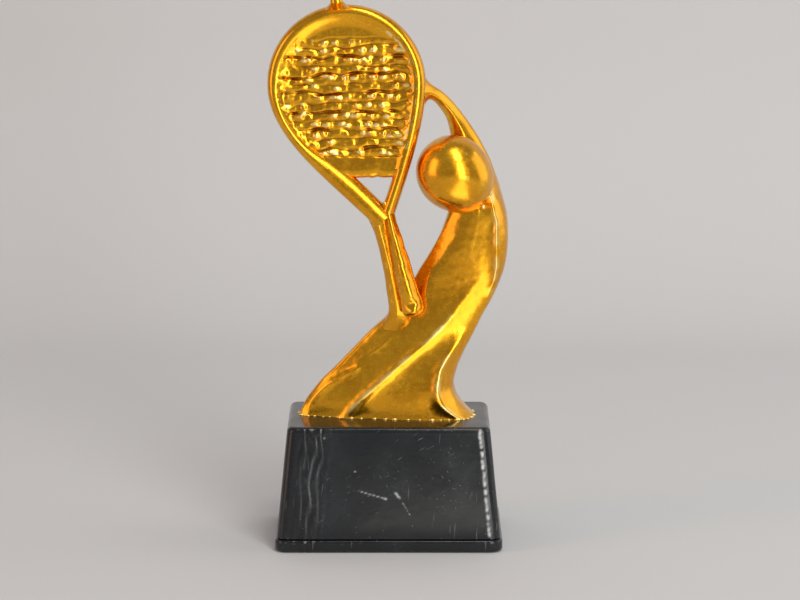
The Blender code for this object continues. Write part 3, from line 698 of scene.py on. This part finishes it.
def build_arms(gold):
    raised = grit(arm_rings(RAISED_ARM, RAISED_RIDGE), ARM_WAVES)
    lower = grit(arm_rings(LOWER_ARM, LOWER_RIDGE), ARM_WAVES)
    build("raised_arm_cast", [skin(raised)], gold, "gold_lacquer", "raised_arm")
    build("lower_arm_cast", [skin(lower)], gold, "gold_lacquer", "lower_arm")


def build_head(gold):
    """A faceless egg, its narrow end down to the left of the neck."""
    turn = Matrix.Rotation(HEAD_TILT, 3, "Y")
    rings = []
    for polar, row in sphere(110, 160, 0.002):
        narrow = 1 + HEAD_TAPER * math.cos(polar)
        sizes = HEAD_HALF_SIZES * Vector((narrow, narrow, 1.0))
        rings.append([HEAD_CENTRE + turn @ (out * sizes) for out in row])
    return build("player_head", [skin(grit(rings, HEAD_WAVES))], gold, "gold_lacquer", "head")


# ---------------------------------------------------------------- racket


def from_racket(u, w, v):
    turn = Matrix.Rotation(RACKET_LEAN, 3, "X") @ Matrix.Rotation(RACKET_YAW, 3, "Z")
    return RACKET_CENTRE + turn @ Vector((u, w, v))


def bezier(points, t):
    a, b, c, d = (Vector(p) for p in points)
    return a * (1 - t) ** 3 + b * 3 * t * (1 - t) ** 2 + c * 3 * t * t * (1 - t) + d * t**3


def racket_outline(inset, arc_steps=150, side_steps=90, run_steps=16):
    """The racket's outline as (u, v) points from the right of the throat round the top to its left."""
    right = [bezier(RIGHT_SIDE, t / side_steps) for t in range(side_steps, 0, -1)]
    top = [
        RACKET_RADIUS * Vector((math.cos(a), math.sin(a)))
        for a in (math.pi * i / arc_steps for i in range(arc_steps + 1))
    ]
    left = [bezier(LEFT_SIDE, t / side_steps) for t in range(1, side_steps + 1)]
    onward = (left[-1] - left[-2]).normalized()
    left += [left[-1] + onward * BRANCH_RUN * i / run_steps for i in range(1, run_steps + 1)]
    outline = np.array(right + top + left)
    run = np.gradient(outline, axis=0)
    run /= np.linalg.norm(run, axis=1, keepdims=True)
    return outline + np.stack([-run[:, 1], run[:, 0]], axis=1) * np.reshape(inset, (-1, 1))


def rim_widths():
    """The rim's width, and where its crest is, at each point of the outline."""
    edge = racket_outline(0.0)
    right, left, crest = curve(RIM_WIDTHS)(edge[:, 1])
    on_right = edge[:, 0] > np.interp(edge[:, 1], [-38, -30, 21], [9.5, 6.0, 0.0])
    return np.where(on_right, right, left), np.where(on_right, 0.5, crest)


def build_racket_frame(gold, around=48):
    width, crest = rim_widths()
    rings = []
    for a in np.arange(around) / around * 2 * math.pi:
        across = (1 - np.sign(math.cos(a)) * abs(math.cos(a)) ** 0.95) / 2
        share = across ** (np.log(crest) / np.log(0.5))
        depth = -RIM_HALF * np.sign(math.sin(a)) * abs(math.sin(a)) ** 0.95
        line = racket_outline(width * share)
        rings.append([from_racket(u, depth, v) for u, v in line])
    rings = np.swapaxes(np.array(rings), 0, 1)
    rim = skin(grit(rings, RIM_WAVES))
    bar = skin(grit(bar_rings(), BAR_WAVES))
    return build("racket_rim", [rim, bar], gold, "gold_lacquer", "racket_frame")


def inner_sides(share):
    """The left and right lines at a share of the rim's width, each from low to high v."""
    line = racket_outline(rim_widths()[0] * share)
    top = int(np.argmax(line[:, 1]))
    right, left = line[: top + 1], line[top:][::-1]
    return left, right


def bar_rings(around=56, steps=70):
    """The band below the strings, from one side of the rim to the other."""
    left, right = inner_sides(0.4)
    middle, tall = (CROSSBAR_TOP + CROSSBAR_FOOT) / 2, (CROSSBAR_TOP - CROSSBAR_FOOT) / 2
    a = np.arange(around) / around * 2 * math.pi
    rise = middle + np.sign(np.sin(a)) * np.abs(np.sin(a)) ** 0.6 * tall
    deep = np.sign(np.cos(a)) * np.abs(np.cos(a)) ** 0.6 * (RIM_HALF - 0.7)
    low_end = np.interp(rise, left[:, 1], left[:, 0])
    high_end = np.interp(rise, right[:, 1], right[:, 0])
    rings = []
    for t in np.linspace(0, 1, steps):
        across = low_end + (high_end - low_end) * t
        uneven = 0.35 * noise.noise(Vector((float(across[0]) / 2.2, 0.0, 2.0)))
        rings.append([from_racket(u, w, v + uneven) for u, w, v in zip(across, deep, rise)])
    return rings


def lumps(u, v, seed):
    return noise.noise(Vector((u, v, seed)))


def string_height(u, v):
    """Height of the strings' front: rows like slats, each with a broken lip and a groove above it."""
    bent = v + 1.1 * lumps(u / 5.0, v / 4.0, 1.0) - 0.03 * u
    height = 1.0
    for shift, strength in ((0.0, 1.0), (0.5, 0.55)):
        row = (bent - LOWEST_GROOVE) / ROW_PITCH + shift
        index = round(row)
        away = (row - index) * ROW_PITCH
        present = 0.75 + 1.6 * lumps(u / 4.2, index * 7.3 + 40 * shift, 4.0)
        present = clamp(present) * strength
        height -= GROOVE_DEPTH * present * math.exp(-((away / GROOVE_WIDTH) ** 2))
        lip = clamp(0.35 + 1.7 * lumps(u / 1.7, index * 3.1 + 9 * shift, 8.0)) * (0.4 + 0.6 * present)
        height += LIP_HEIGHT * lip * math.exp(-(((away + LIP_BELOW_GROOVE) / LIP_WIDTH) ** 2))
    height += 0.32 * lumps(u / 2.6, v / 1.6, 7.0) + 0.06 * lumps(u / 1.2, v / 0.8, 9.0)
    return height


def string_beads(seed=5):
    """Places of small beads along the rows, as (u, v) points."""
    rng = np.random.default_rng(seed)
    row = rng.integers(0, 13, STRING_BEADS) * 0.5
    across = rng.uniform(-16.0, 16.0, STRING_BEADS)
    height = LOWEST_GROOVE + ROW_PITCH * row - 0.9 + rng.normal(0, 0.35, STRING_BEADS)
    return np.stack([across, height], axis=1)


def bed_point(u, v, inward, narrow, beads):
    """A point of the string bed: its depth, the relief on it, and the value of its painted shade and
    painted highlight.
    """
    side = np.interp(u, [-6.0, 6.0], [narrow, 0.9])
    dish = BED_LEVEL + (RIM_HALF - BED_LEVEL) * math.exp(-((inward / (DISH_WIDTH * side)) ** 2))
    height = string_height(u, v)
    near = ((beads[:, 0] - u) / 1.7) ** 2 + (beads[:, 1] - v) ** 2
    bead = float(np.exp(-near.min() / STRING_BEAD_SPREAD))
    height += STRING_BEAD_HEIGHT * bead
    shown = clamp((inward - 0.6) / 1.4)
    shown *= clamp((ROWS_TOP - v) / 2.5) * clamp((v - ROWS_FOOT) / 0.9)
    # Painted highlight along the inner edge of the rim on the right
    edge_shine = 1.6 * lumps(u / 1.1, v / 1.6, 21.0) + 0.55 if u > 0 else 0.0
    edge_shine *= math.exp(-(((inward - 0.9) / 0.9) ** 2)) * (EDGE_SHINE_FOOT < v < EDGE_SHINE_TOP)
    # Painted highlight on the beads and the raised lips
    bright = max(0.75 * bead * shown, 0.9 * (height - 1.12) * shown, 0.8 * edge_shine, 0.0)
    # Painted shade in the grooves and low places, less the painted highlight
    hollow = clamp((1.25 - height) * shown * 0.8) - 1.3 * bright
    return dish, (height - 1.0) * shown, hollow


def build_string_bed(gold):
    """A woven sheet that fills the rim, dished up to the rim's crest in front and behind."""
    left_side, right_side = inner_sides(0.5)
    rows, columns = 250, 220
    top = left_side[:, 1].max()
    beads = string_beads()
    reach = RACKET_RADIUS - 2.1
    rings, painted_light_values = [], []
    for v in np.linspace(STRING_BED_FOOT, top - 0.05, rows):
        left = np.interp(v, left_side[:, 1], left_side[:, 0])
        right = np.interp(v, right_side[:, 1], right_side[:, 0])
        narrow = np.interp(v, [-20.0, -8.0, 2.0], [0.55, 0.7, 0.9])
        front, back, front_painted_light = [], [], []
        for u in np.linspace(left, right, columns):
            inward = min(u - left, right - u)
            if v > 0:
                inward = min(inward, reach - math.hypot(u, v))
            inward = max(inward, 0.0)
            dish, relief, hollow = bed_point(u, v, inward, narrow, beads)
            front.append(from_racket(u, -dish - BED_RELIEF * relief, v))
            back.append(from_racket(u, dish - 0.3 + BED_RELIEF_BEHIND * relief, v))
            front_painted_light.append(hollow)
        rings.append(front + back[::-1])
        painted_light_values.append(front_painted_light + front_painted_light[::-1])
    bed = build("string_weave", [skin(rings)], gold, "gold_lacquer", "string_bed")
    return write_attribute(bed, "hollow", painted_light_values)


def build_handle(gold):
    """The handle, rounded and slightly flared, with a small dimple in the face of its butt."""
    top = from_racket(HANDLE_TOP[0], 0, HANDLE_TOP[1])
    run = HANDLE_BUTT - top
    turn = Vector((0, 0, 1)).rotation_difference(run).to_matrix()
    radius_at = curve(HANDLE_RADII)
    around, steps = 64, 130
    rings = []
    for t in np.linspace(0, 1, steps):
        radius = float(radius_at(t)[0])
        end = max(0.0, (t - BUTT_START) / (1 - BUTT_START))
        radius *= math.sqrt(max(0.0, 1 - end**2.4)) if end < 0.999 else 0.05
        centre = top.lerp(HANDLE_BUTT, t)
        ring = []
        for a in (2 * math.pi * i / around for i in range(around)):
            out = Vector((math.cos(a), math.sin(a), 0))
            facing = (turn @ out).y
            crest = 0.35 * math.exp(-((1 + facing) / 0.12)) if facing < 0 else 0.0
            dimple = DIMPLE_DEPTH * math.exp(-(((t - DIMPLE_PLACE) / DIMPLE_LENGTH) ** 2))
            dimple *= max(0.0, -facing) ** 10
            reach = radius * (1 - 0.04 * math.cos(4 * a)) + crest * (1 - end) - dimple
            ring.append(centre + turn @ (float(max(reach, 0.02)) * out))
        rings.append(ring)
    cast = skin(grit(rings, ROUGH_WAVES))
    return build("handle_cast", [cast], gold, "gold_lacquer", "racket_handle")


def build_dowels(steel):
    """The glued dowels that join the arms and the handle to the racket, inside the castings."""
    handle_top = from_racket(HANDLE_TOP[0], 0, HANDLE_TOP[1])
    high, low = (handle_top.lerp(HANDLE_BUTT, share) for share in HANDLE_DOWEL[:2])
    dowels = {
        "hand_pin": HAND_DOWEL,
        "wrist_pin": WRIST_DOWEL,
        "handle_pin": (high, low, HANDLE_DOWEL[2]),
    }
    for node, (start, end, radius) in dowels.items():
        turn = Vector((0, 0, 1)).rotation_difference(end - start).to_matrix()
        rings = []
        for t, share in DOWEL_OUTLINE:
            centre = start.lerp(end, t)
            rings.append([centre + turn @ (radius * share * out) for out in circle(32)])
        build(node + "_dowel", [skin(rings)], steel, "steel", node)


def build_ball_and_stem(gold):
    up = Vector((-math.sin(STEM_ANGLE), 0, math.cos(STEM_ANGLE)))
    rim = from_racket(0, 0, 0) + up * (RACKET_RADIUS - 0.1)
    centre = rim + up * (GAP + STEM_LENGTH + BALL_RADIUS)
    turn = Vector((0, 0, 1)).rotation_difference(up).to_matrix()
    radius_at = curve(STEM_RADII)
    rings = []
    for height in np.linspace(STEM_RADII[0][0], STEM_RADII[-1][0], 50):
        radius = float(radius_at(height)[0])
        rings.append([rim + up * float(height) + turn @ (radius * out) for out in circle(64)])
    build("stem_cast", [skin(grit(rings, ROUGH_WAVES))], gold, "gold_lacquer", "ball_stem")
    build("ball_cast", [skin(ball_rings(centre))], gold, "gold_lacquer", "ball")


def ball_rings(centre):
    """A sphere with a tennis ball's seam pressed into it."""
    rings = []
    for _, row in sphere(120, 180, 0.002):
        ring = []
        for out in row:
            seam = abs(out.z - 0.45 * math.sin(2 * math.atan2(out.y, out.x)) * (1.6 - abs(out.z)))
            groove = SEAM_DEPTH * math.exp(-((seam / SEAM_WIDTH) ** 2))
            ring.append(centre + out * (BALL_RADIUS - 0.05 - groove))
        rings.append(ring)
    return rings


# ---------------------------------------------------------------- base


def box_ring(width, depth, corner, z, steps=12, along=(190, 60)):
    """A level ring: a rectangle with round corners and points all along its sides."""
    ring = []
    centres = [(1, 1), (-1, 1), (-1, -1), (1, -1)]
    for quarter, (sx, sy) in enumerate(centres):
        cx, cy = sx * (width / 2 - corner), sy * (depth / 2 - corner)
        for step in range(steps + 1):
            angle = math.pi / 2 * (quarter + step / steps)
            ring.append((cx + corner * math.cos(angle), cy + corner * math.sin(angle), z))
        nx, ny = centres[(quarter + 1) % 4]
        last = ring[-1]
        end_angle = math.pi / 2 * (quarter + 1)
        ex = nx * (width / 2 - corner) + corner * math.cos(end_angle)
        ey = ny * (depth / 2 - corner) + corner * math.sin(end_angle)
        count = along[quarter % 2]
        for i in range(1, count):
            t = i / count
            ring.append((last[0] + (ex - last[0]) * t, last[1] + (ey - last[1]) * t, z))
    return ring


def right_edge_bead(x, z):
    """A rough bead along the right edge of the front, broken up along its height. The base also paints a
    highlight along it.
    """
    drift = 0.25 * noise.noise(Vector((0.0, 2.0, z * 0.6)))
    away = x - RIGHT_EDGE + (z - PLINTH_TOP) * EDGE_LEAN + drift
    breaks = clamp(0.55 + 1.3 * noise.noise(Vector((0.0, 7.0, z * 0.9))))
    return breaks * math.exp(-((away / EDGE_WIDTH) ** 2))


def wrinkle_band(x, z, spread):
    """How far a point is from the base's left edge, and how near to the middle of its wrinkles."""
    from_edge = x - LEFT_EDGE - (z - PLINTH_TOP) * LEFT_LEAN
    return from_edge, math.exp(-(((from_edge - WRINKLE_PLACE) / spread) ** 2))


def base_wear_and_shine(x, y, z):
    """Pale marks on the base's front: a painted highlight along the right edge, the scratches, and faint
    painted reflections on the wrinkles.
    """
    if y > FRONT_SIDE or z > BASE_TOP - 0.2:
        return 0.0
    # Painted highlight along the raised right edge
    worn = min(1.3 * right_edge_bead(x, z), 1.0) if z > PLINTH_TOP + 0.8 else 0.0
    for x1, z1, x2, z2, width in FRONT_SCRATCHES:
        along = ((x - x1) * (x2 - x1) + (z - z1) * (z2 - z1)) / ((x2 - x1) ** 2 + (z2 - z1) ** 2)
        along = clamp(along)
        away = math.hypot(x - x1 - (x2 - x1) * along, z - z1 - (z2 - z1) * along)
        breaks = 0.55 + 0.8 * noise.noise(Vector((x * 1.5, 9.0, z * 1.5)))
        worn = max(worn, max(breaks, 0.0) * math.exp(-((away / width) ** 2)))
    # Painted reflection: faint pale lines over the wrinkles
    lines = max(0.0, noise.noise(Vector((x * 2.2, 4.0, z * 0.6))) - 0.2)
    return max(worn, WRINKLE_REFLECTION * lines * wrinkle_band(x, z, WRINKLE_REFLECTION_SPREAD)[1])


def base_surface(points):
    """Unevenness of the moulding: wrinkles on the left of the front, and a raised, broken right edge."""
    moved = np.array(points, dtype=float)
    for point in moved.reshape(-1, 3):
        x, y, z = point
        if z < BASE_TOP - 0.1 and y < FRONT_SIDE:
            from_edge, band = wrinkle_band(x, z, WRINKLE_SPREAD)
            drift = noise.noise(Vector((x * 0.5, z * 0.13, 3.0)))
            wave = math.sin(2.8 * from_edge + 3.2 * drift + 0.8 * math.sin(z * 0.42))
            point[1] += WRINKLE_HEIGHT * band * wave
            point[1] -= EDGE_BEAD * right_edge_bead(x, z)
        point += np.array(noise.noise_vector(Vector((x, y, z)) / 9.0)) * 0.05
    return moved


def shell_size(share):
    """Width and depth of the tapered shell at a share of its height."""
    foot = SHELL_HIGH - SHELL_LOW
    return [foot[i] * (1 - share) + SHELL_TOP_SIZE[i] * share for i in (0, 1)]


def build_base_shell(black):
    """A tapered box, open below with a cavity inside, with rounded edges round its roof."""
    foot, wide, deep = SHELL_LOW[2], *SHELL_TOP_SIZE
    outer = []
    for t in np.linspace(0, 1, 90):
        outer.append(box_ring(*shell_size(t), SHELL_CORNER, foot + (BASE_TOP - SHELL_EDGE - foot) * t))
    edge_steps = 12
    for step in range(1, edge_steps + 1):
        angle = math.pi / 2 * step / edge_steps
        inset = SHELL_EDGE * (1 - math.cos(angle))
        z = BASE_TOP - SHELL_EDGE * (1 - math.sin(angle))
        outer.append(box_ring(wide - 2 * inset, deep - 2 * inset, SHELL_CORNER - inset, z))
    for shrink in np.linspace(0.97, 0.35, 8):
        roof = box_ring(wide - 2 * SHELL_EDGE, deep - 2 * SHELL_EDGE, ROOF_CORNER, BASE_TOP)
        outer.append(scaled_ring(roof, shrink))
    inner = []
    for t in (0.0, 0.5, 1.0):
        width, depth = (size - 2 * SHELL_WALL for size in shell_size(t))
        inner.append(box_ring(width, depth, CAVITY_CORNER, foot + (BASE_TOP - SHELL_WALL - foot) * t))
    rings = np.concatenate([np.array(inner)[::-1], base_surface(outer)])
    shell = build("base_moulding", [skin(rings)], black, "black_gloss", "base_shell")
    return write_attribute(shell, "worn", [base_wear_and_shine(*point) for point in rings.reshape(-1, 3)])


def scaled_ring(ring, share):
    ring = np.array(ring, dtype=float)
    ring[:, :2] *= share
    return ring


def build_plinth(black):
    """The slab under the base, with rounded edges and a pocket below for the felt."""
    width, depth = PLINTH_HIGH[0] - PLINTH_LOW[0], PLINTH_HIGH[1] - PLINTH_LOW[1]
    low, pocket = PLINTH_LOW[2], FELT_HIGH[2] + GAP

    def ring(inset, corner, z):
        return box_ring(width - 2 * inset, depth - 2 * inset, corner, z)

    pocket_inset = (width / 2 - FELT_HIGH[0]) - GAP
    rings = [ring(pocket_inset, POCKET_CORNER, pocket), ring(pocket_inset, POCKET_CORNER, low)]
    foot_steps, top_steps = 6, 8
    for step in range(foot_steps + 1):
        a = math.pi / 2 * step / foot_steps
        inset = PLINTH_FOOT_EDGE * (1 - math.sin(a))
        rings.append(ring(inset, PLINTH_CORNER - inset, low + PLINTH_FOOT_EDGE * (1 - math.cos(a))))
    for step in range(top_steps + 1):
        a = math.pi / 2 * step / top_steps
        inset = PLINTH_TOP_EDGE * (1 - math.cos(a))
        z = PLINTH_TOP - PLINTH_TOP_EDGE * (1 - math.sin(a))
        rings.append(ring(inset, PLINTH_CORNER - inset, z))
    rings.append(ring(PLINTH_ROOF_INSET, PLINTH_ROOF_CORNER, PLINTH_TOP))
    rings = base_surface(rings)
    rings[0][:, 2] = pocket
    return build("plinth_moulding", [skin(rings)], black, "black_gloss", "foot_plate")


def build_lacquer_beads(gold):
    """Beads of lacquer that ran down the figure and set along its foot, and two beside the head."""
    foot = body_rings()[0]
    parts = []
    for i in range(HEM_BEADS):
        pick = noise.noise(Vector((i * 3.7, 1.3, 0.0))) * 0.5 + 0.5
        size = 0.22 + 0.5 * max(0.0, noise.noise(Vector((i * 1.9, 5.1, 2.0))) + 0.25)
        point = foot[int((i + pick * 0.8) / HEM_BEADS * len(foot)) % len(foot)]
        outward = -0.1 if point[1] < 1 else 0.1
        centre = Vector((point[0], point[1] + outward, BASE_TOP + 0.08))
        parts.append(bead(centre, Vector((size * 1.5, size * 0.9, size * 0.75))))
    parts += [bead(Vector(centre), Vector(sizes)) for centre, sizes in HEAD_BEADS]
    beads = build("lacquer_beads", parts, gold, "gold_lacquer")
    # Painted highlight: the beads are coloured pale all over
    return write_attribute(beads, "hollow", np.full(len(beads.data.vertices), -0.6))


def bead(centre, sizes):
    return skin([[centre + out * sizes for out in row] for _, row in sphere(10, 16, 0.01)])


# ---------------------------------------------------------------- stage


def one_way_material(name, colour, roughness):
    """A plain surface that is clear from its back, for the views from behind and below."""
    s = Shader(name, Base_Color=(*colour, 1.0), Roughness=roughness)
    behind = s.add("ShaderNodeNewGeometry").outputs["Backfacing"]
    clear = s.add("ShaderNodeBsdfTransparent").outputs[0]
    mix = s.add("ShaderNodeMixShader", {0: behind, 1: s.main.outputs[0], 2: clear})
    s.tree.links.new(mix.outputs[0], s.tree.nodes["Material Output"].inputs["Surface"])
    return s.material


def build_stage():
    """A pale floor that sweeps up into a pale wall behind."""
    line = [(FLOOR_FRONT, 0.0), (WALL_PLACE - WALL_SWEEP, 0.0)]
    for step in range(1, 13):
        a = math.pi / 2 * step / 12
        line.append((WALL_PLACE - WALL_SWEEP + WALL_SWEEP * math.sin(a), WALL_SWEEP * (1 - math.cos(a))))
    line.append((WALL_PLACE, WALL_TOP))
    points = [(x, y, z) for y, z in line for x in (-FLOOR_HALF_WIDTH, FLOOR_HALF_WIDTH)]
    faces = [(2 * i, 2 * i + 1, 2 * i + 3, 2 * i + 2) for i in range(len(line) - 1)]
    mesh = bpy.data.meshes.new("floor")
    mesh.from_pydata(points, [], faces)
    mesh.shade_smooth()
    mesh.materials.append(one_way_material("pale_floor", FLOOR_COLOUR, 0.8))
    floor = bpy.data.objects.new("floor", mesh)
    bpy.context.scene.collection.objects.link(floor)


def add_light(name, place, turn, size, power, colour):
    """A soft rectangular light that the camera doesn't see."""
    data = bpy.data.lights.new(name, "AREA")
    data.shape = "RECTANGLE"
    data.size, data.size_y = size
    data.energy = power
    data.color = colour
    light = bpy.data.objects.new(name, data)
    light.location = place
    light.rotation_euler = turn
    light.visible_camera = False
    bpy.context.scene.collection.objects.link(light)


def add_softbox(name, azimuth, elevation, distance, size, power, colour):
    """A light aimed at the figure. Azimuth is in degrees to the right of the front."""
    side, up = math.radians(azimuth), math.radians(elevation)
    out = Vector((math.sin(side) * math.cos(up), -math.cos(side) * math.cos(up), math.sin(up)))
    turn = (-out).to_track_quat("-Z", "Y").to_euler()
    add_light(name, LIGHT_TARGET + out * distance, turn, size, power, colour)


def add_floor_light(name, azimuth, near, far, width, power, colour):
    """A strip just above the floor that shines up, from near to far in front of the figure."""
    side, middle = math.radians(azimuth), (near + far) / 2
    place = (math.sin(side) * middle, -math.cos(side) * middle, FLOOR_LIGHT_HEIGHT)
    add_light(name, place, (math.pi, 0.0, side), (width, far - near), power, colour)


def build_lights():
    add_softbox("key", 25, 14, 1.1, (0.34, 1.0), 5.5, (1.0, 0.98, 0.90))
    add_softbox("key_above", 25, 62, 0.9, (0.24, 0.6), 2.4, (1.0, 0.98, 0.92))
    add_floor_light("key_below", 24, 0.06, 0.95, 0.09, 0.40, (1.0, 0.97, 0.86))
    add_softbox("left", -68, 12, 0.9, (0.36, 0.8), 1.7, (1.0, 0.60, 0.40))
    add_softbox("right", 100, 15, 0.9, (0.8, 0.9), 2.4, (1.0, 0.98, 0.95))
    world = bpy.data.worlds.new("studio")
    world.use_nodes = True
    background = world.node_tree.nodes["Background"]
    background.inputs["Color"].default_value = (0.86, 0.88, 0.92, 1.0)
    background.inputs["Strength"].default_value = 0.36
    bpy.context.scene.world = world
    bpy.context.scene.view_settings.view_transform = "Standard"


def build_camera():
    data = bpy.data.cameras.new("camera")
    data.lens = CAMERA_LENS
    data.sensor_width = CAMERA_SENSOR
    camera = bpy.data.objects.new("camera", data)
    camera.location = CAMERA_PLACE
    camera.rotation_euler = (CAMERA_AIM - CAMERA_PLACE).to_track_quat("-Z", "Y").to_euler()
    bpy.context.scene.collection.objects.link(camera)
    bpy.context.scene.camera = camera


# ---------------------------------------------------------------- assembly


def dress_cad_nodes(materials):
    """Gives each CAD node the material of its slot."""
    for entry in frame["record"]["subparts"]:
        obj = frame["nodes"][entry["node"]]
        obj.data.materials.clear()
        obj.data.materials.append(materials[entry["material_slot"]])


build_camera()
build_stage()
build_lights()
materials = {
    "gold_lacquer": gold_material(),
    "black_gloss": black_material(),
    "steel": steel_material(),
    "brass": brass_material(),
    "black_felt": felt_material(),
    "cement": cement_material(),
}
dress_cad_nodes(materials)
gold, black = materials["gold_lacquer"], materials["black_gloss"]
build_body(gold)
build_arms(gold)
build_head(gold)
build_racket_frame(gold)
build_string_bed(gold)
build_handle(gold)
build_dowels(materials["steel"])
build_ball_and_stem(gold)
build_base_shell(black)
build_plinth(black)
build_lacquer_beads(gold)
